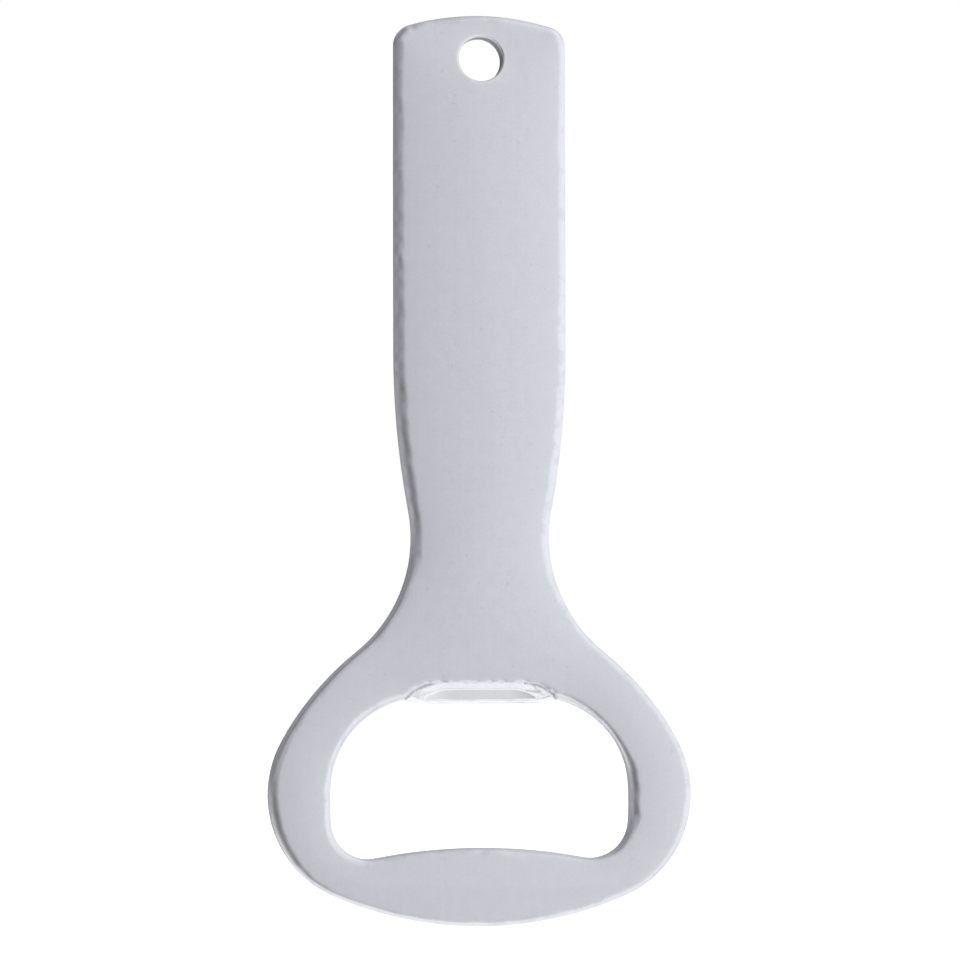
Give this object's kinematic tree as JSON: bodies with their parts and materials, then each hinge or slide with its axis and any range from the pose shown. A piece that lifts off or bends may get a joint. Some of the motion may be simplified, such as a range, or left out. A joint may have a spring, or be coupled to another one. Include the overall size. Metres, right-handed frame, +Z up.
{
  "type": "bottle opener",
  "caption": "Flat one-piece keyring bottle opener: straight strap handle with a ring hole, narrow waist, and a wide oval head pierced for a crown cap with a thin coined lip.",
  "frame": {"origin": "centre of the keyring hole, half way through the plate's thickness", "axes": "+Z up the handle, from the head towards the keyring end, as the opener is held or shown upright; -Y out of the front face, the one with the coined pocket; +X to the right of someone who looks at the front face"},
  "size_m": [0.0442, 0.003, 0.095],
  "materials": {
    "tumbled_aluminium": "satin, vibratory tumbled, with softened edges"
  },
  "bodies": {
    "root": {"opener_plate": "tumbled_aluminium"}
  },
  "joints": []
}
